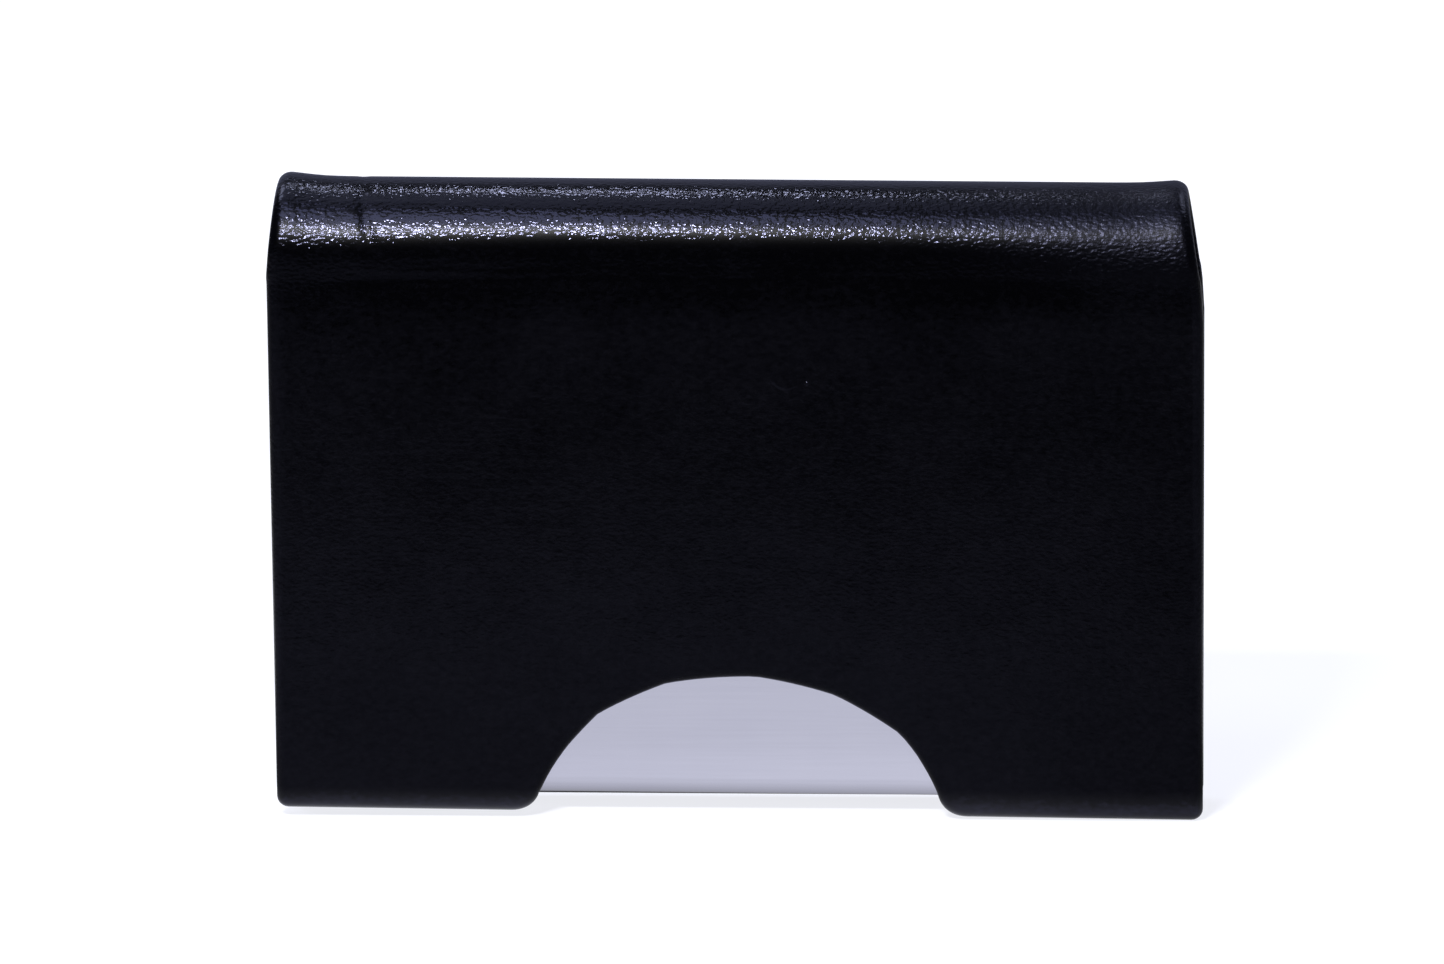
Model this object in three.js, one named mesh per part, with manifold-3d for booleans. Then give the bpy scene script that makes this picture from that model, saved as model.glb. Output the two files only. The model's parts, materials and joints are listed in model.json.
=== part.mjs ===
// Business card holder, in millimetres: +X across the cards, +Y from the flap to the back cover, +Z up.
// A folded steel tray is taped to a leather-covered back board. The same leather runs over a rounded
// spine and down the front as a flap, which folds at two creases and shuts on the tray with two magnets.
// The origin is on the standing plane, under the middle of the holder.
import * as THREE from "three";
import { mergeVertices } from "three/addons/utils/BufferGeometryUtils.js";
import Module from "manifold-3d";

const wasm = await Module();
wasm.setup();

// Driving dimensions: the cards that the holder is made for
const CARD_LENGTH = 90;
const CARD_HEIGHT = 55;
const CARD_STACK = 6;
const CARD_PLAY = 1; // free room at each end of the cards
const CARD_PROUD = 2; // how far the cards stand above the tray, for the thumb

// Driving dimensions: the steel tray
const SHEET = 0.5;
const TRAY_BEND = 2; // outside radius of the bends
const TRAY_CORNER = 2.2; // outside radius of the two lower corners
const RAIL_WIDTH = 7; // front flange along each side
const LIP_HEIGHT = 16; // front flange along the foot
const WINDOW_CORNER = 4; // inside corners of the front opening
const RAIL_CORNER = 2.5; // rounded upper ends of the side flanges

// Driving dimensions: the layers of the covers and the spine
const SKIN = 0.8;
const BOARD = 1.2;
const STRIP = 0.4; // stiffener in the spine
const HEM = 0.5; // skin thinned and turned in over the board
const HEM_WIDTH = 8.5;
const LINING = 0.4;
const LINING_INSET = 2.5;
const GLUE = 0.05;
const TAPE = 0.3;
const TAPE_WIDTH = 12;
const TAPE_LENGTH = 44;
const TAPE_INSET = 16.5; // middle of a strip in from the tray's side

// Driving dimensions: the outline of the covers and the spine
const SIDE_MARGIN = 1; // cover past the tray at each side
const FOOT_MARGIN = 1.7; // cover past the tray at the foot
const CORNER_RADIUS = 1.4;
const EDGE_RADIUS = 1.2; // round of the covers' turned edges
const SPINE_EDGE_RADIUS = 0.7; // round of the spine's turned ends
const SPINE_INSET = 1.2; // spine short of the covers at each end
const SPINE_LEG = 1.6; // straight skin between a crease and the round of the spine
const FOLD_GAP = 0.3; // slit that stands for the crease in the skin
const HINGE_GAP = 1.2; // boards and stiffener stop short of the crease, so that the leather can fold
const FLAP_CLEARANCE = 0.3; // between the shut flap and the tray
const NOTCH_RADIUS = 24.8;
const NOTCH_HEIGHT = 14.2; // top of the thumb notch above the foot
const NOTCH_SHOULDER = 4; // round between the notch and the foot

// Driving dimensions: the magnets in the flap
const MAGNET_DIAMETER = 8;
const MAGNET_THICKNESS = 1;
const MAGNET_INSET = 12.5; // middle of a magnet in from the flap's side
const MAGNET_HEIGHT = 9; // middle of the magnets above the foot
const MAGNET_PLAY = 0.15;

// Facets of the round stretches
const NOTCH_FACETS = 14; // for each curve of a cover's outline
const EDGE_FACETS = 4;
const SPINE_FACETS = 28;
const BEND_FACETS = 6;
const MAGNET_FACETS = 24;
const PAST = 1; // how far a cutter runs past the face that it opens

// Derived sizes
const TRAY_WIDTH = CARD_LENGTH + 2 * (CARD_PLAY + SHEET);
const TRAY_DEPTH = CARD_STACK + 2 * SHEET;
const TRAY_HEIGHT = SHEET + CARD_HEIGHT - CARD_PROUD;
const COVER_WIDTH = TRAY_WIDTH + 2 * SIDE_MARGIN;
const COVER_SHELL = SKIN + BOARD + HEM + 2 * GLUE; // the skin wrapped round its board
const COVER_DEPTH = COVER_SHELL + GLUE + LINING;
const DEPTH = 2 * COVER_DEPTH + FLAP_CLEARANCE + TRAY_DEPTH + TAPE + 2 * GLUE;
const SPINE_RADIUS = DEPTH / 2;
const SPINE_WIDTH = COVER_WIDTH - 2 * SPINE_INSET;
const SPINE_SHELL = SKIN + STRIP + HEM + 2 * GLUE;
const SPINE_AXIS = FOOT_MARGIN + SHEET + CARD_HEIGHT; // height of the spine's centre: the cards' upper edge
const CREASE = SPINE_AXIS - SPINE_LEG;
const COVER_TOP = CREASE - FOLD_GAP / 2;
const SPINE_FOOT = FOLD_GAP / 2 - SPINE_LEG; // lower edge of the spine's skin, from the spine's centre
const NOTCH_DROP = NOTCH_RADIUS - NOTCH_HEIGHT; // notch centre below the foot
const MAGNET_REACH = COVER_WIDTH / 2 - MAGNET_INSET; // from the middle of the flap
const TAPE_REACH = TRAY_WIDTH / 2 - TAPE_INSET; // from the middle of the tray

const leather = new THREE.MeshStandardMaterial({ color: 0x0d0c14, roughness: 0.45, metalness: 0 });
const suede = new THREE.MeshStandardMaterial({ color: 0x17161b, roughness: 0.95, metalness: 0 });
const greyboard = new THREE.MeshStandardMaterial({ color: 0x8a8378, roughness: 0.9, metalness: 0 });
const steel = new THREE.MeshStandardMaterial({ color: 0xb8b9cc, roughness: 0.28, metalness: 1 });
const nickel = new THREE.MeshStandardMaterial({ color: 0xa9a79f, roughness: 0.25, metalness: 1 });
const adhesive = new THREE.MeshStandardMaterial({ color: 0xd8d4c8, roughness: 0.8, metalness: 0 });

function solidOf(geometry) {
  const bare = geometry.clone();
  bare.deleteAttribute("normal");
  bare.deleteAttribute("uv");
  const merged = mergeVertices(bare);
  return new wasm.Manifold(
    new wasm.Mesh({
      numProp: 3,
      vertProperties: merged.attributes.position.array,
      triVerts: new Uint32Array(merged.index.array),
    }),
  );
}

function geometryOf(solid) {
  const { vertProperties, triVerts } = solid.getMesh();
  const geometry = new THREE.BufferGeometry();
  geometry.setAttribute("position", new THREE.BufferAttribute(vertProperties, 3));
  geometry.setIndex(new THREE.BufferAttribute(triVerts, 1));
  geometry.computeVertexNormals();
  return geometry;
}

function cut(geometry, ...cutters) {
  const left = cutters.reduce((solid, cutter) => solid.subtract(solidOf(cutter)), solidOf(geometry));
  return geometryOf(left);
}

// An outline in X and Z as a slab that runs from front to front + thickness along Y.
function slab(outline, front, thickness, round = 0, facets = NOTCH_FACETS) {
  const geometry = new THREE.ExtrudeGeometry(outline, {
    depth: thickness - 2 * round,
    bevelEnabled: round > 0,
    bevelThickness: round,
    bevelSize: round,
    bevelOffset: -round,
    bevelSegments: EDGE_FACETS,
    curveSegments: facets,
  });
  return geometry.rotateX(Math.PI / 2).translate(0, front + thickness - round, 0);
}

// An outline in Y and Z as a bar of the given length, centred along X.
function bar(outline, length, round = 0) {
  const geometry = new THREE.ExtrudeGeometry(outline, {
    depth: length - 2 * round,
    bevelEnabled: round > 0,
    bevelThickness: round,
    bevelSize: round,
    bevelOffset: -round,
    bevelSegments: EDGE_FACETS,
    curveSegments: SPINE_FACETS,
  });
  const turn = new THREE.Matrix4().makeBasis(
    new THREE.Vector3(0, 1, 0),
    new THREE.Vector3(0, 0, 1),
    new THREE.Vector3(1, 0, 0),
  );
  return geometry.applyMatrix4(turn).translate(round - length / 2, 0, 0);
}

function mesh(name, geometry, material, x = 0, y = 0, z = 0) {
  const part = new THREE.Mesh(geometry, material);
  part.name = name;
  part.position.set(x, y, z);
  return part;
}

// The outline of a cover in X and Z, drawn in from its edges by inset, with or without the thumb notch.
function coverOutline(inset, notched, top = COVER_TOP) {
  const half = COVER_WIDTH / 2 - inset;
  const corner = Math.max(CORNER_RADIUS - inset, GLUE);
  const outline = new THREE.Shape();
  outline.moveTo(-half, top);
  outline.lineTo(-half, inset + corner);
  outline.absarc(corner - half, inset + corner, corner, Math.PI, 1.5 * Math.PI, false);
  if (notched) {
    const shoulder = Math.max(NOTCH_SHOULDER - inset, GLUE);
    const notch = NOTCH_RADIUS + inset;
    const rise = NOTCH_DROP + inset + shoulder;
    const reach = Math.sqrt((notch + shoulder) ** 2 - rise ** 2);
    const lean = Math.atan2(rise, reach);
    const level = inset + shoulder;
    outline.absarc(-reach, level, shoulder, -0.5 * Math.PI, -lean, false);
    outline.absarc(0, -NOTCH_DROP, notch, Math.PI - lean, lean, true);
    outline.absarc(reach, level, shoulder, Math.PI + lean, 1.5 * Math.PI, false);
  }
  outline.absarc(half - corner, inset + corner, corner, -0.5 * Math.PI, 0, false);
  outline.lineTo(half, top);
  outline.closePath();
  return outline;
}

// Leather of a cover: a face, edges turned round the board, and a hem glued down on the board's inner side.
function coverSkin(notched) {
  const past = COVER_TOP + PAST + EDGE_RADIUS;
  const wrap = slab(coverOutline(0, notched, past), 0, COVER_SHELL, EDGE_RADIUS);
  const above = new THREE.BoxGeometry(COVER_WIDTH + 2 * PAST, COVER_SHELL + 2 * PAST, 2 * (past - COVER_TOP));
  above.translate(0, COVER_SHELL / 2, past);
  const pocket = slab(coverOutline(SKIN, notched, past), SKIN, BOARD + 2 * GLUE);
  const window = slab(coverOutline(HEM_WIDTH, notched, past), SKIN + BOARD + GLUE, HEM + GLUE + PAST);
  return cut(wrap, above, pocket, window);
}

function magnetDisc(play, thickness) {
  const radius = MAGNET_DIAMETER / 2 + play;
  return new THREE.CylinderGeometry(radius, radius, thickness, MAGNET_FACETS);
}

const MAGNET_SIDES = { magnet_left: -1, magnet_right: 1 };

// The flap's board has two round holes that hold the magnets. The back board is plain.
function coverBoard(notched) {
  const board = slab(coverOutline(SKIN + GLUE, notched, COVER_TOP - HINGE_GAP), SKIN + GLUE, BOARD);
  if (!notched) return board;
  const holes = Object.values(MAGNET_SIDES).map((side) =>
    magnetDisc(MAGNET_PLAY, BOARD + 2 * PAST).translate(
      side * MAGNET_REACH,
      SKIN + GLUE + BOARD / 2,
      MAGNET_HEIGHT,
    ),
  );
  return cut(board, ...holes);
}

// A cover in its own frame: the outer face at y = 0, the layers inwards along +Y, the foot at z = 0.
function cover(prefix, notched) {
  const group = new THREE.Group();
  const lining = slab(coverOutline(LINING_INSET, notched), COVER_SHELL + GLUE, LINING);
  group.add(
    mesh(prefix + "_skin", coverSkin(notched), leather),
    mesh(prefix + "_board", coverBoard(notched), greyboard),
    mesh(prefix + "_lining", lining, suede),
  );
  return group;
}

function flap() {
  const group = cover("flap", true);
  const depth = SKIN + GLUE + BOARD / 2;
  for (const [name, side] of Object.entries(MAGNET_SIDES)) {
    const disc = magnetDisc(0, MAGNET_THICKNESS);
    group.add(mesh(name, disc, nickel, side * MAGNET_REACH, depth, MAGNET_HEIGHT));
  }
  group.position.y = -DEPTH / 2;
  return group;
}

function backCover() {
  const group = cover("back", false);
  group.rotation.z = Math.PI;
  group.position.y = DEPTH / 2;
  return group;
}

// A half-round arch in Y and Z with straight legs down to foot.
function archOutline(outer, inner, foot) {
  const outline = new THREE.Shape();
  outline.moveTo(outer, foot);
  outline.lineTo(outer, 0);
  outline.absarc(0, 0, outer, 0, Math.PI, false);
  outline.lineTo(-outer, foot);
  outline.lineTo(-inner, foot);
  outline.absarc(0, 0, inner, Math.PI, 0, true);
  outline.lineTo(inner, foot);
  outline.closePath();
  return outline;
}

// One layer of the spine, from outside in, as an arch of the given thickness and length.
function spineLayer(depth, thickness, length, foot = SPINE_FOOT, round = 0) {
  const outer = SPINE_RADIUS - depth;
  return bar(archOutline(outer, outer - thickness, foot), length, round);
}

// The spine's leather is turned in at both ends round the stiffener, as the covers' is round their boards.
function spine() {
  const group = new THREE.Group();
  const past = SPINE_FOOT - PAST;
  const wrap = spineLayer(0, SPINE_SHELL, SPINE_WIDTH, SPINE_FOOT, SPINE_EDGE_RADIUS);
  const pocket = spineLayer(SKIN, STRIP + 2 * GLUE, SPINE_WIDTH - 2 * SKIN, past);
  const window = spineLayer(SKIN + STRIP + GLUE, HEM + GLUE + PAST, SPINE_WIDTH - 2 * HEM_WIDTH, past);
  const strip = spineLayer(SKIN + GLUE, STRIP, SPINE_WIDTH - 2 * (SKIN + GLUE), SPINE_FOOT + HINGE_GAP);
  const lining = spineLayer(SPINE_SHELL + GLUE, LINING, SPINE_WIDTH - 2 * LINING_INSET);
  group.add(
    mesh("spine_skin", cut(wrap, pocket, window), leather),
    mesh("spine_strip", strip, greyboard),
    mesh("spine_lining", lining, suede),
  );
  group.position.z = SPINE_AXIS;
  return group;
}

// A block with the tray's bends, drawn in from its faces by inset, that runs past the tray's open top.
function trayBlock(inset) {
  const half = TRAY_WIDTH / 2 - inset;
  const corner = TRAY_CORNER - inset;
  const bend = TRAY_BEND - inset;
  const top = TRAY_HEIGHT + PAST + bend;
  const outline = new THREE.Shape();
  outline.moveTo(-half, top);
  outline.lineTo(-half, inset + corner);
  outline.absarc(corner - half, inset + corner, corner, Math.PI, 1.5 * Math.PI, false);
  outline.absarc(half - corner, inset + corner, corner, -0.5 * Math.PI, 0, false);
  outline.lineTo(half, top);
  outline.closePath();
  return slab(outline, inset, TRAY_DEPTH - 2 * inset, bend, BEND_FACETS);
}

// The front opening of the tray in X and Z: square to the rails, rounded at the lip, flared at the top.
function windowOutline() {
  const half = TRAY_WIDTH / 2 - RAIL_WIDTH;
  const shoulder = TRAY_HEIGHT - RAIL_CORNER;
  const floor = LIP_HEIGHT + WINDOW_CORNER;
  const outline = new THREE.Shape();
  outline.moveTo(-half - RAIL_CORNER, TRAY_HEIGHT + PAST);
  outline.lineTo(-half - RAIL_CORNER, TRAY_HEIGHT);
  outline.absarc(-half - RAIL_CORNER, shoulder, RAIL_CORNER, 0.5 * Math.PI, 0, true);
  outline.absarc(WINDOW_CORNER - half, floor, WINDOW_CORNER, Math.PI, 1.5 * Math.PI, false);
  outline.absarc(half - WINDOW_CORNER, floor, WINDOW_CORNER, -0.5 * Math.PI, 0, false);
  outline.absarc(half + RAIL_CORNER, shoulder, RAIL_CORNER, Math.PI, 0.5 * Math.PI, true);
  outline.lineTo(half + RAIL_CORNER, TRAY_HEIGHT + PAST);
  outline.closePath();
  return outline;
}

// One sheet bent into a back, two sides and a foot, with flanges turned in over the cards at the front.
function cardTray() {
  const window = slab(windowOutline(), -PAST, PAST + (SHEET + TRAY_BEND) / 2, 0, BEND_FACETS);
  const above = new THREE.BoxGeometry(TRAY_WIDTH + 2 * PAST, TRAY_DEPTH + 2 * PAST, 2 * (PAST + TRAY_BEND));
  above.translate(0, TRAY_DEPTH / 2, TRAY_HEIGHT + PAST + TRAY_BEND);
  const tray = cut(trayBlock(0), above, trayBlock(SHEET), window);
  return mesh("card_tray", tray, steel, 0, COVER_DEPTH + FLAP_CLEARANCE - DEPTH / 2, FOOT_MARGIN);
}

// Double-sided tape between the tray's back and the lining of the back cover.
function tapes() {
  const middle = DEPTH / 2 - COVER_DEPTH - GLUE - TAPE / 2;
  const level = FOOT_MARGIN + TRAY_HEIGHT / 2;
  const sides = { tape_left: -1, tape_right: 1 };
  return Object.entries(sides).map(([name, side]) =>
    mesh(name, new THREE.BoxGeometry(TAPE_WIDTH, TAPE, TAPE_LENGTH), adhesive, side * TAPE_REACH, middle, level),
  );
}

const holder = new THREE.Group();
holder.add(backCover(), cardTray(), ...tapes(), spine(), flap());

export default holder;
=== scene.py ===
import json
import math

import bmesh
import bpy
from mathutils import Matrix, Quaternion, Vector


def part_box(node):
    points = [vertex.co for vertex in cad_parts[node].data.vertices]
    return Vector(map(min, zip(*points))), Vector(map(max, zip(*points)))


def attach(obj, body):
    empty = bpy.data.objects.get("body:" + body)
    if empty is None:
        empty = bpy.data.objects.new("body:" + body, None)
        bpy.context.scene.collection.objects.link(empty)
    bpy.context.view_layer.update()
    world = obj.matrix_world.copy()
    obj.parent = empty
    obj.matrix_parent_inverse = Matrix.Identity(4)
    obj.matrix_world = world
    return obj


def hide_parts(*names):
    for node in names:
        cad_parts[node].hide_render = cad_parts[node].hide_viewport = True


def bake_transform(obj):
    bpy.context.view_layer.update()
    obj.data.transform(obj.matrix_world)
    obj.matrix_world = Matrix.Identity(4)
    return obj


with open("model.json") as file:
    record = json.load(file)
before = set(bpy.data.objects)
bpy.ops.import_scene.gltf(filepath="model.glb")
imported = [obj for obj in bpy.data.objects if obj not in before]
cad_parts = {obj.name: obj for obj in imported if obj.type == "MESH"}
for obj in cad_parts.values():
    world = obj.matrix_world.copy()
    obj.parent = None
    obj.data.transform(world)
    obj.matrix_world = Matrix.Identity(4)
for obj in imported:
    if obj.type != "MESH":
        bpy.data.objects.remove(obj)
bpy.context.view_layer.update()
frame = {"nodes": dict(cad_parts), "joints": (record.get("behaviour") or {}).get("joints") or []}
bpy.ops.object.select_all(action="DESELECT")


# Leather of the flap and the spine
# One skin of black grained leather runs up the front as the flap, over the rounded spine and down to the
# back cover. Its edges are turned in round the boards and glued down as a hem, and it folds at the creases.
MM = 0.001
flap_low, flap_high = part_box("flap_skin")
spine_low, spine_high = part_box("spine_skin")
HALF = flap_high.x  # half the width of the covers
FACE = flap_low.y  # the flap's outer face
WRAP = flap_high.y - flap_low.y  # a cover's thickness, hem and board together
CREASE = frame["joints"][0]["pos_m"][2]
RADIUS = (spine_high.y - spine_low.y) / 2
AXIS = spine_high.z - RADIUS  # the middle of the spine's rounding
FOLD_START = CREASE - 1.4 * MM
FOLD_ROWS = [0.4 * MM, 0.3 * MM, 0.28 * MM, 0.22 * MM, 0.2 * MM, 0.28 * MM, 0.35 * MM, 0.47 * MM]
SEAM = FOLD_START + sum(FOLD_ROWS)
SPINE_STEPS = 36
SKIN = 0.5 * MM
EDGE_ROUND = 1.2 * MM
EDGE_STEPS = 6
HEM_SHOWN = 2.9 * MM
NOTCH_RADIUS = 24.8 * MM
NOTCH_HEIGHT = 14.2 * MM
NOTCH_DROP = NOTCH_RADIUS - NOTCH_HEIGHT  # how far the notch's centre lies below the foot
NOTCH_STEPS = 48
SHOULDER = 4 * MM  # the rounding between the notch and the foot
SHOULDER_STEPS = 10
SQUARE_ON = 0.99  # a normal with this much along an axis faces that way
SMOOTH_BELOW = math.radians(50)


def pick(kind, test):
    """In edit mode, selects just the verts, edges or faces that pass the test."""
    mesh = bpy.context.edit_object.data
    bpy.ops.mesh.select_mode(type={"verts": "VERT", "edges": "EDGE", "faces": "FACE"}[kind])
    shape = bmesh.from_edit_mesh(mesh)
    for part in (*shape.verts, *shape.edges, *shape.faces):
        part.select = False
    for part in getattr(shape, kind):
        if test(part):
            part.select_set(True)
    shape.select_flush_mode()
    bmesh.update_edit_mesh(mesh)


def near(value, target):
    """Whether two lengths are the same, to a hundredth of a millimetre."""
    return abs(value - target) < 0.01 * MM


def draw(x, y, z):
    """Extrudes what is selected by this much."""
    bpy.ops.mesh.extrude_region_move(TRANSFORM_OT_translate={"value": (x, y, z)})


def start_point(name, x, y, z):
    """A new piece in edit mode, so far a single point, from which its outline is drawn."""
    bpy.ops.object.select_all(action="DESELECT")
    bpy.ops.mesh.primitive_plane_add(size=MM)
    piece = bpy.context.object
    piece.name = piece.data.name = name
    bpy.ops.object.mode_set(mode="EDIT")
    bpy.ops.mesh.select_mode(type="VERT")
    bpy.ops.mesh.merge(type="CENTER")
    bpy.ops.transform.translate(value=(x, y, z))
    return piece


def face_outwards():
    """Turns every face of the mesh outwards."""
    bpy.ops.mesh.select_all(action="SELECT")
    bpy.ops.mesh.normals_make_consistent(inside=False)


def trace_cover(name, inset, notched, level, top):
    """The flat outline of a cover as one face at y = level, drawn in from its edges by inset."""
    half = HALF - inset
    cover = start_point(name, -half, level, top)
    draw(0, 0, inset - top)
    if notched:
        shoulder = SHOULDER - inset
        notch = NOTCH_RADIUS + inset
        rise = NOTCH_DROP + inset + shoulder
        reach = math.sqrt((notch + shoulder) ** 2 - rise**2)
        lean = math.atan2(rise, reach)
        arc = {"axis": (0, 1, 0), "steps": SHOULDER_STEPS, "angle": math.pi / 2 - lean}
        half_moon = {"axis": (0, 1, 0), "steps": NOTCH_STEPS, "angle": 2 * lean - math.pi}
        draw(half - reach, 0, 0)
        bpy.ops.mesh.spin(center=(-reach, level, inset + shoulder), **arc)
        bpy.ops.mesh.spin(center=(0, level, -NOTCH_DROP), **half_moon)
        bpy.ops.mesh.spin(center=(reach, level, inset + shoulder), **arc)
        draw(half - reach, 0, 0)
    else:
        draw(2 * half, 0, 0)
    draw(0, 0, top - inset)
    bpy.ops.mesh.select_all(action="SELECT")
    bpy.ops.mesh.remove_doubles(threshold=0.001 * MM)
    bpy.ops.mesh.edge_face_add()
    return cover


def slice_across(columns, rows):
    """Cuts the whole mesh along X and Z, so that it can be shaped."""
    for axis, places in ((Vector((1, 0, 0)), columns), (Vector((0, 0, 1)), rows)):
        for at in places:
            bpy.ops.mesh.select_all(action="SELECT")
            bpy.ops.mesh.bisect(plane_co=axis * at, plane_no=axis)


# The cuts lie closest across the pressed line near the spine's left end.
FROM_END = [2.2, 3.3, 4.6, 6, 7.2, 7.8, *(8.2 + 0.3 * step for step in range(10)), 11.3, 12]
COLUMNS = [side * (HALF - cut * MM) for cut in FROM_END for side in (-1, 1)]
COLUMNS += [cut * MM for cut in range(-33, 34, 3)]
ROWS = [cut * MM for cut in range(3, 54, 3)]


def wrap_cover(name, notched):
    """A leather sheet turned round a board: outer face, round edges and hem, open along the crease."""
    cover = trace_cover(name, 0, notched, FACE, FOLD_START)
    draw(0, WRAP, 0)
    face_outwards()

    def on_rim(edge):
        first, second = (vert.co for vert in edge.verts)
        along_top = near(first.z, FOLD_START) and near(second.z, FOLD_START)
        along_foot = near(first.z, 0) and near(second.z, 0)
        corner = along_foot and near(abs(first.x), HALF) and near(first.x, second.x)
        return not along_top and (near(first.y, second.y) or corner)

    def at_crease(face):
        return face.normal.z > SQUARE_ON and near(face.calc_center_median().z, FOLD_START)

    def inside(face):
        return face.normal.y > SQUARE_ON and near(face.calc_center_median().y, FACE + WRAP)

    pick("edges", on_rim)
    bpy.ops.mesh.bevel(offset=EDGE_ROUND, segments=EDGE_STEPS, affect="EDGES", clamp_overlap=False)
    pick("faces", at_crease)
    bpy.ops.mesh.delete(type="FACE")
    pick("faces", inside)
    bpy.ops.mesh.inset(thickness=HEM_SHOWN, use_boundary=False, use_even_offset=True)
    bpy.ops.mesh.delete(type="FACE")
    slice_across(COLUMNS, ROWS)
    return cover


def run_over_crease():
    """Carries the open upper edge on, row by row, past the crease."""
    pick("edges", lambda edge: edge.is_boundary and all(near(v.co.z, FOLD_START) for v in edge.verts))
    for row in FOLD_ROWS:
        draw(0, 0, row)


def run_over_spine(foot):
    """Carries the upper edge on from this height over the rounded spine and down the back to it again."""
    draw(0, 0, AXIS - foot)
    bpy.ops.mesh.spin(steps=SPINE_STEPS, angle=math.pi, center=(0, 0, AXIS), axis=(1, 0, 0))
    draw(0, 0, foot - AXIS)


def ramp(value, start, end):
    """0 up to start, 1 from end on, and straight between them."""
    return min(max((value - start) / (end - start), 0.0), 1.0)


def hump(distance, width):
    """A soft hump, 1 in its middle and almost nothing at twice the width."""
    return math.exp(-((distance / width) ** 2))


def between(ends, left):
    """The value between those at the right and the left end, where left is the share of the way."""
    return ends[0] + (ends[1] - ends[0]) * left


# How the glued leather lies. Pairs of heights and depths are for the right and the left end, and pairs of
# places are a start and an end, measured up from the crease or as a share of the way to the left.
SPINE_THIN = 1.8 / 2.6  # the spine's layers against a cover's
THINNING = (-0.7 * MM, 0.5 * MM)
GROOVE_DEPTH = 0.06 * MM
GROOVE_WIDTH = 0.8 * MM
CROWN = (0.55 * MM, 1.2 * MM)
FLARE = (0.3 * MM, 0.45 * MM)
FLARE_WIDTH = 3.4 * MM
PRESSED_DEPTH = 0.2 * MM
PRESSED_FROM_END = 11.2 * MM
PRESSED_LEAN = 2.7 * MM
PRESSED_WIDTH = 0.55 * MM
PRESSED_FADE = 0.7
TUCK = 0.5 * MM
TUCK_HEIGHT = 3 * MM
SPINE_HEIGHT = 8.5 * MM
SPINE_TAPER = 1.05 * MM
RIGHT_TAPER = 0.45 * MM
WAIST = (-5 * MM, 0.5 * MM)
LEFT_END = (0.7, 1.0)
LEFT_SWELL = 0.315 * MM
LEFT_SWELL_PLACE = 2 * MM
LEFT_SWELL_WIDTH = 2.4 * MM
RIGHT_END = (0.25, 0.0)
RIGHT_SWELL = 0.3125 * MM
RIGHT_SWELL_PLACE = 0.9 * MM
RIGHT_SWELL_WIDTH = 1.8 * MM
FLAP_SHIFT = 0.4 * MM
FLAP_LIFT = 0.95 * MM
BACK_LIFT = (0.45 * MM, 0.6 * MM)


def fold(cover):
    """Shapes a straight cover: soft creases, a thin spine that tapers, flares and swells, a skewed foot."""
    for vert in cover.data.vertices:
        x, y, z = vert.co
        over = z > AXIS
        turn = math.atan2(z - AXIS, -y) if over else 0.0
        crown = math.sin(turn)
        depth = RADIUS - (math.hypot(y, z - AXIS) if over else abs(y))
        past = z - CREASE
        along = AXIS - CREASE + RADIUS * turn if over else past
        from_end = HALF - abs(x)
        left = 0.5 - 0.5 * x / HALF

        thin = ramp(past, *THINNING)
        depth *= 1 - (1 - SPINE_THIN) * thin * thin * (3 - 2 * thin)
        depth += GROOVE_DEPTH * hump(past, GROOVE_WIDTH)
        depth -= crown * (between(CROWN, left) + between(FLARE, left) * hump(from_end, FLARE_WIDTH))
        pressed = hump(from_end - PRESSED_FROM_END + PRESSED_LEAN * crown, PRESSED_WIDTH) * left**2
        depth += PRESSED_DEPTH * pressed * (1 - PRESSED_FADE * crown**6) * math.sqrt(max(crown, 0.0))
        depth += TUCK * max(1 - z / TUCK_HEIGHT, 0.0) ** 2

        rise = max(past / SPINE_HEIGHT, 0.0)
        waist = ramp(past, *WAIST) ** 2
        x *= 1 - (SPINE_TAPER * rise**1.2 + RIGHT_TAPER * (1 - left) * (waist + rise)) / HALF
        low = max(1 - z / CREASE, 0.0)
        if y < 0:
            left_swell = ramp(left, *LEFT_END) * hump(along - LEFT_SWELL_PLACE, LEFT_SWELL_WIDTH)
            right_swell = ramp(left, *RIGHT_END) * hump(along - RIGHT_SWELL_PLACE, RIGHT_SWELL_WIDTH)
            depth -= LEFT_SWELL * left_swell + RIGHT_SWELL * right_swell
            x += FLAP_SHIFT * left * low
            z += FLAP_LIFT * left * low
        else:
            z += between(BACK_LIFT, left) * low

        reach = RADIUS - depth
        if over:
            vert.co = (x, -reach * math.cos(turn), AXIS + reach * math.sin(turn))
        else:
            vert.co = (x, math.copysign(reach, y), z)


# The snips in the hem of the notch, from left to right: the angle round the notch's centre, in degrees, and
# how many millimetres the edge lies outside its true arc there.
SNIPS = [
    (149.5, 0.0),
    (138.0, -0.1),
    (124.5, 0.6),
    (107.0, 0.5),
    (86.0, 0.25),
    (67.0, 0.35),
    (49.5, 0.5),
    (40.0, 0.0),
    (30.5, 0.0),
]
PULLED = (NOTCH_RADIUS + 7 * MM, NOTCH_RADIUS + 3 * MM)
NOTCH_SHIFT = 0.1 * MM
SQUEEZE = 1.45 * MM  # how far the two feet beside the notch stand in
SQUEEZED = (33 * MM, 26 * MM)
SQUEEZE_HEIGHT = 7 * MM


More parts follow.
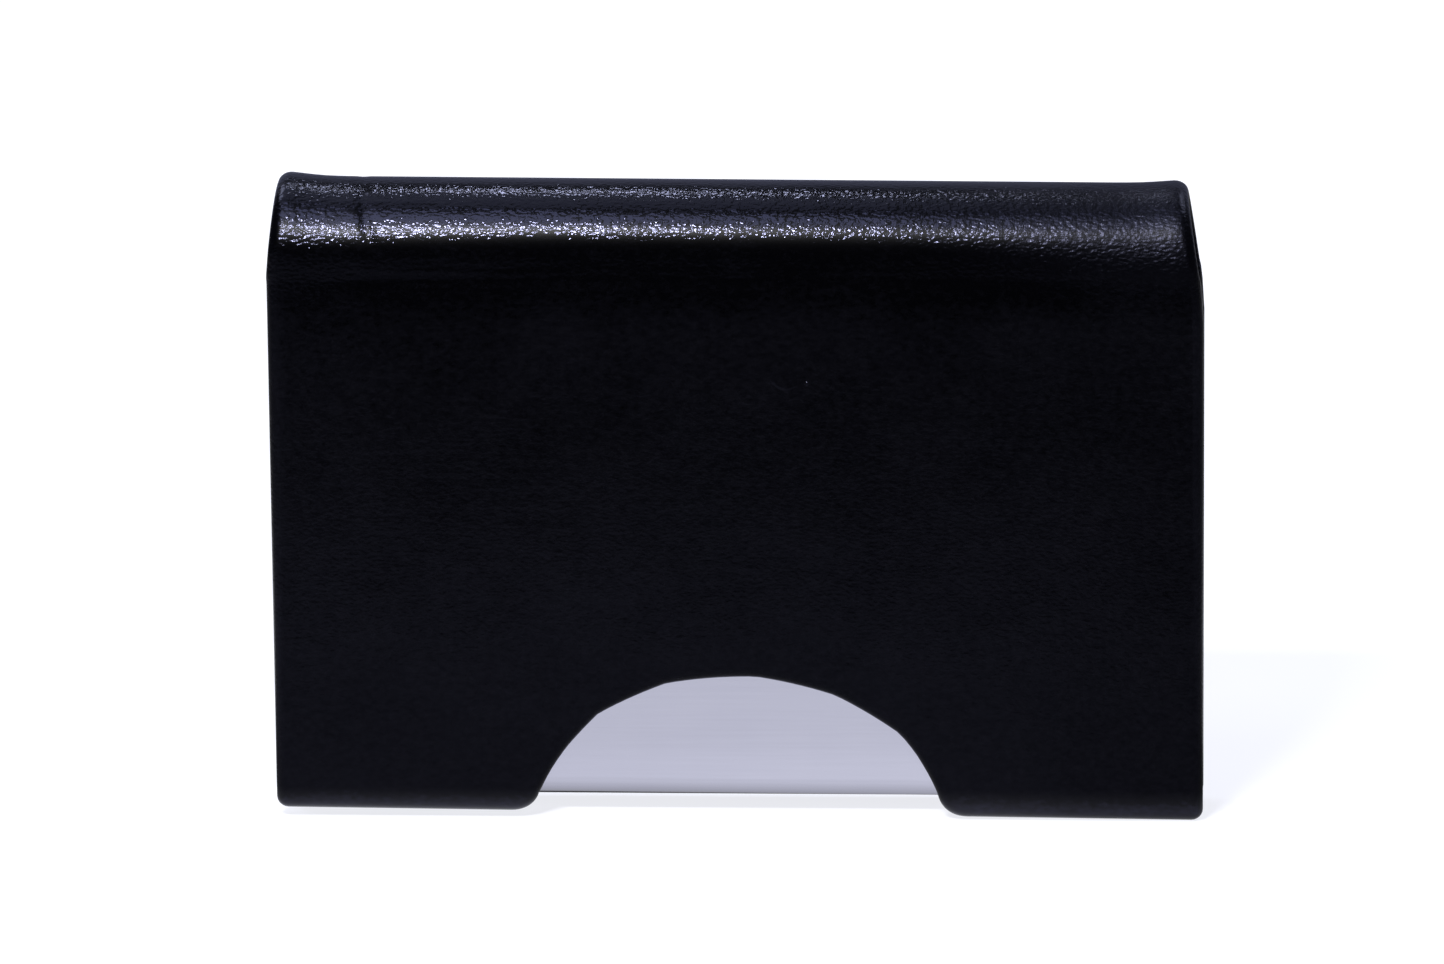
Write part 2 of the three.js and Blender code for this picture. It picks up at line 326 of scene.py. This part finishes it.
def snip_notch(cover):
    """Pulls the notch's edge almost straight from snip to snip, as a snipped hem does when turned in."""
    corners = [(math.radians(angle), NOTCH_RADIUS + out * MM) for angle, out in SNIPS]
    for vert in cover.data.vertices:
        if vert.co.y >= 0:
            continue
        angle = math.atan2(vert.co.z + NOTCH_DROP, vert.co.x)
        away = math.hypot(vert.co.z + NOTCH_DROP, vert.co.x)
        pull = ramp(away, *PULLED)
        for (start, before), (end, after) in zip(corners, corners[1:]):
            if pull and start >= angle > end:
                line = before * math.sin(start - angle) + after * math.sin(angle - end)
                straight = before * after * math.sin(start - end) / line
                curved = before + (after - before) * (start - angle) / (start - end)
                away += ((straight + curved) / 2 - NOTCH_RADIUS) * pull
                vert.co.x = away * math.cos(angle) + NOTCH_SHIFT * pull * math.sin(angle)
                vert.co.z = away * math.sin(angle) - NOTCH_DROP
                break
        beside = ramp(abs(vert.co.x), *SQUEEZED)
        low = max(1 - vert.co.z / SQUEEZE_HEIGHT, 0.0) ** 1.5
        vert.co.x -= math.copysign(SQUEEZE * beside * low, vert.co.x)


def give_wall(sheet, thickness):
    """Gives a sheet its thickness, inwards from its face."""
    wall = sheet.modifiers.new("Wall", "SOLIDIFY")
    wall.thickness = thickness
    wall.offset = -1
    wall.use_even_offset = True
    bpy.ops.object.modifier_apply(modifier=wall.name)


class Tone:
    """A value that changes over a finish: one socket among its nodes, with the arithmetic on it."""

    def __init__(self, socket):
        self.socket = socket

    def node(self, kind, settings, inputs, output=0):
        """A further node of the same finish, set up first and then fed with numbers or other tones."""
        tree = self.socket.id_data
        made = tree.nodes.new("ShaderNode" + kind)
        for key, value in settings.items():
            if key == "stops":
                while len(made.color_ramp.elements) < len(value):
                    made.color_ramp.elements.new(1.0)
                for stop, (place, shade) in zip(made.color_ramp.elements, value):
                    stop.position = place
                    stop.color = (*shade, 1.0)
            else:
                setattr(made, key, value)
        for key, value in inputs.items():
            if isinstance(value, Tone):
                tree.links.new(value.socket, made.inputs[key])
            else:
                made.inputs[key].default_value = value
        return Tone(made.outputs[output])

    def _sum(self, operation, first, second):
        return self.node("Math", {"operation": operation}, {0: first, 1: second})

    def __add__(self, other):
        return self._sum("ADD", self, other)

    __radd__ = __add__

    def __sub__(self, other):
        return self._sum("SUBTRACT", self, other)

    def __rsub__(self, other):
        return self._sum("SUBTRACT", other, self)

    def __mul__(self, other):
        return self._sum("MULTIPLY", self, other)

    __rmul__ = __mul__

    def rise(self, start, end):
        """0 before start, 1 after end, and a soft step between them."""
        limits = {"Value": self, "From Min": start, "From Max": end}
        return self.node("MapRange", {"interpolation_type": "SMOOTHSTEP"}, limits)

    def noise(self, scale, detail=2.0, roughness=0.5):
        """Soft noise on this place, about 0.5 in the mean, with its scale per metre."""
        inputs = {"Vector": self, "Scale": scale, "Detail": detail, "Roughness": roughness}
        return self.node("TexNoise", {}, inputs)

    def stretched(self, x, y, z):
        """This place, drawn out or pressed together along each axis."""
        return self.node("VectorMath", {"operation": "MULTIPLY"}, {0: self, 1: (x, y, z)})

    def distance(self, point):
        """How far this place is from a point."""
        return self.node("VectorMath", {"operation": "DISTANCE"}, {0: self, 1: point}, "Value")

    def axes(self):
        """The three coordinates of this place."""
        first = self.node("SeparateXYZ", {}, {0: self})
        return [Tone(socket) for socket in first.socket.node.outputs]

    def colours(self, *stops):
        """A colour for each value, from (value, colour) stops."""
        return self.node("ValToRGB", {"stops": stops}, {"Fac": self})


def start_finish(name, **constants):
    """A new finish, its shader with the sockets that stay the same all over, and the place on the piece."""
    finish = bpy.data.materials.new(name)
    finish.use_nodes = True
    shader = finish.node_tree.nodes["Principled BSDF"]
    for socket, value in constants.items():
        shader.inputs[socket.replace("_", " ")].default_value = value
    place = Tone(finish.node_tree.nodes.new("ShaderNodeTexCoord").outputs["Object"])
    return finish, shader, place


def feed(shader, **tones):
    """Lets the named sockets of a shader follow these tones."""
    for socket, tone in tones.items():
        shader.id_data.links.new(tone.socket, shader.inputs[socket.replace("_", " ")])


def bump(height, depth):
    """A surface relief of the given depth in metres from a height between 0 and 1."""
    return height.node("Bump", {}, {"Strength": 1.0, "Distance": depth, "Height": height})


JET = (0.0002, 0.0002, 0.0004)
BLACK = (0.0014, 0.0014, 0.0021)
# The lightest black is used mostly for the painted sheen along the foot.
PAINTED_SHEEN_BLACK = (0.01, 0.01, 0.018)
GRAIN_DEPTH = 0.08 * MM
NICK_CENTRE = (5.3 * MM, FACE, 46.1 * MM)
PIMPLE = (7.4 * MM, FACE, 45.1 * MM)

leather, shader, place = start_finish(
    "black_leather",
    Specular_IOR_Level=0.08,
    Specular_Tint=(0.62, 0.64, 1.0, 1.0),
    Coat_Roughness=0.28,
    Coat_IOR=1.4,
    Coat_Tint=(0.9, 0.92, 1.0, 1.0),
)
x, _, z = place.axes()
# Where the skin is drawn over the spine, the foot, which is glossier and carries a painted sheen, and where
# the skin is slack towards the spine's ends.
crowned = z.rise(CREASE + 2.8 * MM, CREASE + 4.2 * MM)
upper_left = x.rise(4 * MM, -30 * MM) * z.rise(20 * MM, 45 * MM)
foot_gloss_and_painted_sheen = z.rise(3.5 * MM, 0.5 * MM) * (1 - x.rise(-20 * MM, 30 * MM) * 0.25)
slack = x.rise(8 * MM, 45 * MM)
loose = slack + x.rise(-33 * MM, -45 * MM)
bent = (z + loose * (4.5 * MM)).rise(CREASE + 1 * MM, CREASE + 5 * MM)
# The grain with its pores, deeper over the bend, and the soft waves of the glued skin under it.
grain = place.stretched(0.6, 1, 1).noise(3200, 0.6)
pore = place.noise(6000, 0)
stretch_line = place.stretched(1, 0.3, 0.3).noise(2600, 1)
wrinkle = place.stretched(0.16, 1, 1).noise(1000, 1)
sag = place.noise(110, 2)
fine = (grain * (0.65 + loose * 0.35) + pore * 0.15) * (0.35 + bent * 0.65) + stretch_line * crowned * 0.2
# A curved nick in the upper middle of the flap, and one raised pore beside it.
ring = place.distance(NICK_CENTRE)
ring = ring.rise(1.5 * MM, 1.75 * MM) - ring.rise(1.75 * MM, 2 * MM)
nick = ring * z.rise(45.5 * MM, 44.6 * MM) * x.rise(6.6 * MM, 5 * MM)
pimple = place.distance(PIMPLE).rise(0.28 * MM, 0.02 * MM)
relief = fine + wrinkle * (0.1 + upper_left * 0.3) + sag * 2 - nick * 0.75 + pimple * 0.9
# The dye is thinner in random patches. The spine and the band just under the crease are painted darker as
# painted shade, and the foot is painted lighter as a painted sheen.
mottle = place.stretched(0.6, 1, 1).noise(2400, 3)
dye_and_painted_light = sag * 0.25 + mottle * 0.5 - 0.29 + z.rise(CREASE, CREASE - 6 * MM) * 0.2 + foot_gloss_and_painted_sheen * 0.5
feed(
    shader,
    Base_Color=dye_and_painted_light.colours((0.1, JET), (0.45, BLACK), (0.85, PAINTED_SHEEN_BLACK)),
    Roughness=0.05 + place.noise(3600, 1) * 0.06 + (loose * 0.05 + slack * 0.19) * bent,
    Coat_Weight=0.045 + crowned * 0.02 + foot_gloss_and_painted_sheen * 0.95,
    Normal=bump(relief, GRAIN_DEPTH),
)

front_leather = wrap_cover("front_leather", True)
run_over_crease()
run_over_spine(SEAM)
bpy.ops.object.mode_set(mode="OBJECT")
snip_notch(front_leather)
fold(front_leather)
give_wall(front_leather, SKIN)
bpy.ops.object.shade_smooth_by_angle(angle=SMOOTH_BELOW)
front_leather.data.materials.append(leather)
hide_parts("flap_skin", "spine_skin")
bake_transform(front_leather)


# Leather of the back cover
# The same skin, carried on down the back and turned in round the back board. It has no notch.
def turn_to_back(cover):
    """Turns a cover that was made as a front round to the back."""
    cover.rotation_euler.z = math.pi
    bpy.ops.object.transform_apply(location=False, rotation=True, scale=False)


back_leather = wrap_cover("back_leather", False)
run_over_crease()
bpy.ops.object.mode_set(mode="OBJECT")
turn_to_back(back_leather)
fold(back_leather)
give_wall(back_leather, SKIN)
bpy.ops.object.shade_smooth_by_angle(angle=SMOOTH_BELOW)
back_leather.data.materials.append(leather)
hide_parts("back_skin")
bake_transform(back_leather)


# Board of the back cover
# Grey bookbinding board, cut square and 1.2 mm thick. It stops short of the crease, so that the leather can
# fold there, and is glued inside the leather.
DARK_PULP = (0.13, 0.115, 0.09)
PALE_PULP = (0.30, 0.27, 0.22)
PULP_DEPTH = 0.04 * MM


def dress(node, finish):
    """Gives a solid of the frame its finish."""
    frame["nodes"][node].data.materials.clear()
    frame["nodes"][node].data.materials.append(finish)


greyboard, shader, place = start_finish("greyboard")
fibre = place.stretched(1, 1, 0.25).noise(2600, 4)
cloud = place.noise(240, 3)
feed(
    shader,
    Base_Color=(fibre * 0.6 + cloud * 0.4).colours((0.3, DARK_PULP), (0.7, PALE_PULP)),
    Roughness=0.82 + fibre * 0.15,
    Normal=bump(fibre, PULP_DEPTH),
)
dress("back_board", greyboard)


# Board of the flap
# The same board, with a notch in its foot and two drilled holes for the magnets. It hangs a little askew, as
# the leather does.
MAGNETS = ("magnet_left", "magnet_right")
BORE_PLAY = 0.3 * MM
BORE_SIDES = 64
DRILL_LENGTH = 6 * MM
board_low, board_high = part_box("flap_board")


def cut_out(piece, cutter):
    """Takes the cutter's shape out of a piece, and the cutter away."""
    bpy.ops.object.select_all(action="DESELECT")
    piece.select_set(True)
    bpy.context.view_layer.objects.active = piece
    opening = piece.modifiers.new("Opening", "BOOLEAN")
    opening.operation = "DIFFERENCE"
    opening.object = cutter
    bpy.ops.object.modifier_apply(modifier=opening.name)
    bpy.data.objects.remove(cutter)


flap_board = trace_cover("flap_greyboard", board_low.z, True, board_low.y, board_high.z)
draw(0, board_high.y - board_low.y, 0)
slice_across([], ROWS)
face_outwards()
bpy.ops.object.mode_set(mode="OBJECT")
fold(flap_board)
for node in MAGNETS:
    magnet_low, magnet_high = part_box(node)
    bore = magnet_high.x - magnet_low.x + BORE_PLAY
    bpy.ops.object.select_all(action="DESELECT")
    bpy.ops.mesh.primitive_cylinder_add(
        vertices=BORE_SIDES,
        radius=bore / 2,
        depth=DRILL_LENGTH,
        location=(magnet_low + magnet_high) / 2,
        rotation=(math.pi / 2, 0, 0),
    )
    cut_out(flap_board, bpy.context.object)
flap_board.data.materials.append(greyboard)
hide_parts("flap_board")
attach(flap_board, "flap")


# Magnets of the flap
# Two nickel-plated discs, pressed into round holes in the flap's board. They hold the flap shut on the
# steel tray.
DULL_NICKEL = (0.50, 0.48, 0.44)
BRIGHT_NICKEL = (0.62, 0.60, 0.56)
PLATING_DEPTH = 0.004 * MM

nickel, shader, place = start_finish("nickel_plate", Metallic=1.0)
haze = place.noise(900, 3)
feed(
    shader,
    Base_Color=haze.colours((0.3, DULL_NICKEL), (0.7, BRIGHT_NICKEL)),
    Roughness=0.18 + haze * 0.2,
    Normal=bump(place.noise(5000, 2), PLATING_DEPTH),
)
for node in MAGNETS:
    dress(node, nickel)


# Stiffener of the spine
# A strip of thin grey card, bent to the arch of the spine and glued to the inside of its leather.
strip_low, strip_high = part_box("spine_strip")
STRIP = 0.4 * MM
STRIP_LEVEL = RADIUS - (RADIUS - strip_high.y) / SPINE_THIN
STRIP_MARGIN = 0.5 * MM

stiffener = start_point("spine_stiffener", strip_low.x, -STRIP_LEVEL, strip_low.z)
draw(strip_high.x - strip_low.x, 0, 0)
bpy.ops.mesh.select_all(action="SELECT")
run_over_spine(strip_low.z)
slice_across([cut for cut in COLUMNS if abs(cut) < strip_high.x - STRIP_MARGIN], [])
face_outwards()
bpy.ops.object.mode_set(mode="OBJECT")
fold(stiffener)
give_wall(stiffener, STRIP)
bpy.ops.object.shade_smooth_by_angle(angle=SMOOTH_BELOW)
stiffener.data.materials.append(greyboard)
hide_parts("spine_strip")
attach(stiffener, "spine")


# Linings of the covers and the spine
# Black brushed microfibre, 0.35 mm thick, glued over the boards and the hems 2.5 mm in from the edges. It
# follows the leather over the creases.
LINING = 0.35 * MM
LINING_INSET = 2.5 * MM
LINING_LEVEL = FACE + WRAP + 0.05 * MM
LINING_MARGIN = 1 * MM
DEEP_NAP = (0.004, 0.004, 0.005)
RAISED_NAP = (0.011, 0.011, 0.014)
NAP_DEPTH = 0.06 * MM

microfibre, shader, place = start_finish(
    "microfibre",
    Sheen_Weight=0.25,
    Sheen_Roughness=0.4,
    Specular_IOR_Level=0.1,
)
nap = place.noise(4200, 4, 0.7)
stroke = place.stretched(1, 1, 0.3).noise(160, 3)
feed(
    shader,
    Base_Color=(nap * 0.5 + stroke * 0.5).colours((0.3, DEEP_NAP), (0.7, RAISED_NAP)),
    Roughness=0.85 + nap * 0.15,
    Normal=bump(nap, NAP_DEPTH),
)


def line_cover(name, notched):
    """A flat lining, sliced so that it can follow the leather."""
    lining = trace_cover(name, LINING_INSET, notched, LINING_LEVEL, FOLD_START)
    pick("faces", lambda face: face.normal.y < 0)
    bpy.ops.mesh.flip_normals()
    slice_across([cut for cut in COLUMNS if abs(cut) < HALF - LINING_INSET - LINING_MARGIN], ROWS)
    return lining


front_lining = line_cover("front_lining", True)
run_over_crease()
run_over_spine(SEAM)
bpy.ops.object.mode_set(mode="OBJECT")
fold(front_lining)
bpy.ops.object.mode_set(mode="EDIT")
face_outwards()
bpy.ops.object.mode_set(mode="OBJECT")
give_wall(front_lining, LINING)
bpy.ops.object.shade_smooth_by_angle(angle=SMOOTH_BELOW)
front_lining.data.materials.append(microfibre)
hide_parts("flap_lining", "spine_lining")
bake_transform(front_lining)

rear_lining = line_cover("rear_lining", False)
run_over_crease()
bpy.ops.object.mode_set(mode="OBJECT")
turn_to_back(rear_lining)
fold(rear_lining)
give_wall(rear_lining, LINING)
bpy.ops.object.shade_smooth_by_angle(angle=SMOOTH_BELOW)
rear_lining.data.materials.append(microfibre)
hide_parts("back_lining")
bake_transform(rear_lining)


# Tape
# Two strips of pale double-sided tape that hold the tray's back to the lining of the back cover.
TAPE_THREAD = (0.55, 0.52, 0.45)
TAPE_GLUE = (0.70, 0.67, 0.60)
TAPE_DEPTH = 0.02 * MM

tape, shader, place = start_finish("double_sided_tape")
weave = place.noise(3000, 3)
feed(
    shader,
    Base_Color=weave.colours((0.3, TAPE_THREAD), (0.7, TAPE_GLUE)),
    Roughness=0.6 + weave * 0.25,
    Normal=bump(weave, TAPE_DEPTH),
)
for node in ("tape_left", "tape_right"):
    dress(node, tape)


# Card tray
# One sheet of satin stainless steel, 0.5 mm thick, bent up at the foot and the sides and turned in over the
# cards as a lip and two rails. It is open at the top and taped to the back cover.
tray_low, tray_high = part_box("card_tray")
SHEET = 0.5 * MM
TRAY_BEND = 2 * MM
BEND_STEPS = 8
RAIL_WIDTH = 7 * MM
RAIL_CORNER = 2.5 * MM
LIP_HEIGHT = 16 * MM
WINDOW_CORNER = 4 * MM
CORNER_STEPS = 10
STEEL_SMOOTH_BELOW = math.radians(40)
BURR = 0.08 * MM
BURR_ABOVE = math.radians(50)
TRAY_LIFT = 0.2 * MM
TRAY_TILT = 0.006  # how far the tray drops to the right, for each metre across
SMEARED_STEEL = (0.74, 0.74, 0.88)
CLEAN_STEEL = (0.81, 0.81, 0.95)
STREAK_DEPTH = 0.002 * MM


def block(name, low, high):
    """A box between two corners, with its place in its mesh, open in edit mode."""
    bpy.ops.object.select_all(action="DESELECT")
    bpy.ops.mesh.primitive_cube_add(size=1, location=(low + high) / 2, scale=high - low)
    made = bpy.context.object
    made.name = made.data.name = name
    bpy.ops.object.transform_apply(location=True, rotation=True, scale=True)
    bpy.ops.object.mode_set(mode="EDIT")
    return made


def runs_through(edge, height):
    """Whether an edge runs from front to back through the sheet at this height."""
    first, second = (vert.co for vert in edge.verts)
    return near(first.x, second.x) and near(first.z, height) and near(second.z, height)


window_low = Vector((tray_low.x + RAIL_WIDTH, tray_low.y - MM, tray_low.z + LIP_HEIGHT))
window_high = Vector((-window_low.x, tray_low.y + 2 * SHEET, tray_high.z + 2 * MM))
window = block("window_cutter", window_low, window_high)
pick("edges", lambda edge: runs_through(edge, window_low.z))
bpy.ops.mesh.bevel(offset=WINDOW_CORNER, segments=CORNER_STEPS, affect="EDGES")
bpy.ops.object.mode_set(mode="OBJECT")


def on_rail_corner(edge):
    """Whether an edge is the upper inner corner of a rail."""
    return runs_through(edge, tray_high.z) and near(abs(edge.verts[0].co.x), window_high.x)


tray = block("steel_tray", tray_low, tray_high)
pick("faces", lambda face: face.normal.z > SQUARE_ON)
bpy.ops.mesh.delete(type="ONLY_FACE")
pick("edges", lambda edge: not all(near(v.co.z, tray_high.z) for v in edge.verts))
bpy.ops.mesh.bevel(offset=TRAY_BEND, segments=BEND_STEPS, affect="EDGES")
bpy.ops.object.mode_set(mode="OBJECT")
give_wall(tray, SHEET)
cut_out(tray, window)
bpy.ops.object.mode_set(mode="EDIT")
pick("edges", on_rail_corner)
bpy.ops.mesh.bevel(offset=RAIL_CORNER, segments=BEND_STEPS, affect="EDGES")
bpy.ops.object.mode_set(mode="OBJECT")
bpy.ops.object.shade_smooth_by_angle(angle=STEEL_SMOOTH_BELOW)
burr = tray.modifiers.new("Burr", "BEVEL")
burr.width = BURR
burr.segments = 2
burr.limit_method = "ANGLE"
burr.angle_limit = BURR_ABOVE
burr.harden_normals = True
bpy.ops.object.modifier_apply(modifier=burr.name)
for vert in tray.data.vertices:
    vert.co.z += TRAY_LIFT - TRAY_TILT * vert.co.x

satin_steel, shader, place = start_finish("satin_steel", Metallic=1.0)
streak = place.stretched(0.02, 1, 1).noise(3600, 3, 0.6)
smear = place.noise(70, 3)
feed(
    shader,
    Base_Color=(streak * 0.4 + smear * 0.6).colours((0.3, SMEARED_STEEL), (0.7, CLEAN_STEEL)),
    Roughness=0.09 + streak * 0.05 + smear * 0.05,
    Normal=bump(streak, STREAK_DEPTH),
)
tray.data.materials.append(satin_steel)
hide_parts("card_tray")
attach(tray, "case")


# Floor and light
# A pale floor with a painted pool of light round the holder, seen only in reflections, soft boxes in front,
# above, behind and at both rear corners, which draw the bright bands along the spine, and a room that is dark
# on the camera's side.
FLOOR_WIDTH = 6
POOL_MIDDLE = (-0.03, 0.0, 0.0)
FLOOR_GREY = (0.8, 0.8, 0.82, 1.0)
FLOOR_GLOW = (0.94, 0.95, 1.0, 1.0)
ROOM_LIGHT = (0.84, 0.87, 1.0)
REAR_LIGHT = (0.62, 0.66, 1.0)
WHITE = (1.0, 1.0, 1.0)
COOL = (0.74, 0.78, 1.0)
SPINE_MIDDLE = (0, 0, 0.06)
SPINE_LEFT = (-0.03, 0, 0.06)

bpy.ops.object.select_all(action="DESELECT")
bpy.ops.mesh.primitive_plane_add(size=FLOOR_WIDTH)
floor = bpy.context.object
floor.name = "floor"
pale = bpy.data.materials.new("pale_floor")
pale.use_nodes = True
tree = pale.node_tree
tree.nodes.remove(tree.nodes["Principled BSDF"])
paths = tree.nodes.new("ShaderNodeLightPath")
seen = Tone(paths.outputs["Is Camera Ray"])
mirrored = Tone(paths.outputs["Is Glossy Ray"])
spot = Tone(tree.nodes.new("ShaderNodeTexCoord").outputs["Object"])
across, rearward, _ = spot.axes()
away = spot.distance(POOL_MIDDLE)
# The eye sees the floor white. Steel and leather mirror a painted pool of light, which fades outwards and to
# the sides, with a painted shadow under the holder, a brighter band before it, more light behind it and
# painted glows far to both sides.
white = seen * (1.05 + away.rise(0.1, 0.6) * 0.3)
brighter = rearward.rise(-0.032, -0.022) - rearward.rise(-0.014, -0.009)
lit = 0.67 + brighter * 0.05 - rearward.rise(-0.008, 0.003) * 0.36 + rearward.rise(0.012, 0.05) * 0.7
faded = (1 - away.rise(0.09, 0.27) * 0.97) * (1 - across.rise(0.022, 0.045) * 0.35)
painted_pool = lit * faded + (across * across).rise(0.006, 0.014) * 0.35
ground = seen.node("BsdfDiffuse", {}, {"Color": FLOOR_GREY})
glow = seen.node("Emission", {}, {"Color": FLOOR_GLOW, "Strength": white + mirrored * painted_pool})
mixed = seen.node("MixShader", {}, {0: seen * 0.8 + mirrored, 1: ground, 2: glow})
tree.links.new(mixed.socket, tree.nodes["Material Output"].inputs["Surface"])
floor.data.materials.append(pale)

world = bpy.data.worlds.new("studio")
bpy.context.scene.world = world
world.use_nodes = True
tree = world.node_tree
seen = Tone(tree.nodes.new("ShaderNodeLightPath").outputs["Is Camera Ray"])
toward = Tone(tree.nodes.new("ShaderNodeTexCoord").outputs["Generated"])
rearward = toward.axes()[1]
behind = rearward.rise(0.4, 0.75) * 0.5 - rearward.rise(0.82, 0.97) * 0.35
room = 0.15 - rearward.rise(-0.4, -0.8) * 0.145 + behind
sky = rearward.colours((0.35, ROOM_LIGHT), (0.75, REAR_LIGHT))
feed(tree.nodes["Background"], Color=sky, Strength=room + seen)


def soft_box(name, place, aim, width, height, power, colour):
    """A rectangular lamp at a place, turned to what it is aimed at."""
    lamp = bpy.data.lights.new(name, "AREA")
    lamp.shape = "RECTANGLE"
    lamp.size = width
    lamp.size_y = height
    lamp.energy = power
    lamp.color = colour
    box = bpy.data.objects.new(name, lamp)
    bpy.context.scene.collection.objects.link(box)
    box.location = place
    box.rotation_euler = (Vector(aim) - Vector(place)).to_track_quat("-Z", "Y").to_euler()


soft_box("key", (-0.095, -0.490, 0.407), SPINE_LEFT, width=0.11, height=0.04, power=7.5, colour=WHITE)
soft_box("fill", (-0.13, -0.344, 0.551), SPINE_LEFT, width=0.3, height=0.2, power=2.2, colour=COOL)
soft_box("top", (-0.16, 0, 0.66), SPINE_LEFT, width=0.36, height=0.4, power=1.1, colour=COOL)
soft_box("rear", (-0.0535, 0.234, 0.612), (-0.015, 0, 0.06), width=0.05, height=0.035, power=0.5, colour=COOL)
for side in (-1, 1):
    corner = (0.36 * side, 0.18, 0.64)
    soft_box("rear_side", corner, SPINE_MIDDLE, width=0.3, height=0.22, power=1.9, colour=COOL)


# Camera
# A long lens a metre away, a little above the holder and to its right, as in the photograph.
SENSOR = 36
LENS = 244.1
STAND = Vector((0.0516, -0.9853, 0.1940))
AIM = Vector((-0.00166, 0.00031, 0.03381))
ROLL = math.radians(-0.327)

camera = bpy.data.objects.new("camera", bpy.data.cameras.new("camera"))
bpy.context.scene.collection.objects.link(camera)
camera.data.sensor_width = SENSOR
camera.data.lens = LENS
camera.location = STAND
level = (AIM - STAND).to_track_quat("-Z", "Y")
camera.rotation_euler = (level @ Quaternion((0, 0, 1), ROLL)).to_euler()
bpy.context.scene.camera = camera
bpy.context.scene.view_settings.view_transform = "Standard"
